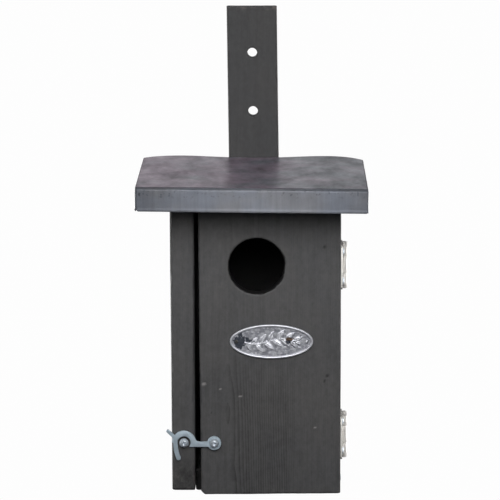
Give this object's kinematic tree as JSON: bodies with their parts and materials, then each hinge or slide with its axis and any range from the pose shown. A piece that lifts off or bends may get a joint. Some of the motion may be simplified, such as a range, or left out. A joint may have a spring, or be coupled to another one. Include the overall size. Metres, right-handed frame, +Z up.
{
  "type": "birdhouse",
  "caption": "Wall-hung wooden nest box with a side-hinged front, round entrance, hook latch, zinc-covered roof and a hanging batten with two holes.",
  "frame": {"origin": "midway between the two hanging holes, on the batten's back face, where it meets the wall", "axes": "+Z up, +Y into the wall behind the batten, +X to the right seen from the front; the whole box is at Y < 0"},
  "size_m": [0.1328, 0.145, 0.2761],
  "materials": {
    "stained_pine": "pine boards in matt anthracite stain",
    "zinc_sheet": "satin, pre-weathered zinc sheet",
    "plated_steel": "bright zinc-plated steel",
    "hinge_steel": "lightly brassed steel",
    "pewter_plate": "cast plate, silvery, worn bright on its relief"
  },
  "bodies": {
    "house": {"hanging_batten": "stained_pine", "back_board": "stained_pine", "left_wall": "stained_pine", "right_wall": "stained_pine", "floor_board": "stained_pine", "roof_board": "stained_pine", "roof_cover": "zinc_sheet", "cover_nails": "plated_steel", "wall_nails": "plated_steel", "floor_nails": "plated_steel", "roof_nails": "plated_steel", "batten_screws": "plated_steel", "upper_hinge_wall_leaf": "hinge_steel", "upper_hinge_pin": "hinge_steel", "lower_hinge_wall_leaf": "hinge_steel", "lower_hinge_pin": "hinge_steel", "hinge_wall_screws": "hinge_steel", "latch_catch_screw": "plated_steel"},
    "door": {"front_door": "stained_pine", "upper_hinge_door_leaf": "hinge_steel", "lower_hinge_door_leaf": "hinge_steel", "hinge_door_screws": "hinge_steel", "oval_plate": "pewter_plate", "plate_pins": "pewter_plate", "latch_pivot_screw": "plated_steel"},
    "latch": {"latch_hook": "plated_steel"}
  },
  "joints": [
    {"name": "door_swing", "type": "hinge", "parent": "house", "child": "door", "pos_m": [0.0532, -0.10375, -0.1479], "axis": [0, 0, 1], "range_deg": [0, 165]},
    {"name": "latch_swing", "type": "hinge", "parent": "door", "child": "latch", "pos_m": [-0.0218, -0.11805, -0.2004], "axis": [0, 1, 0], "range_deg": [0, 270]}
  ]
}
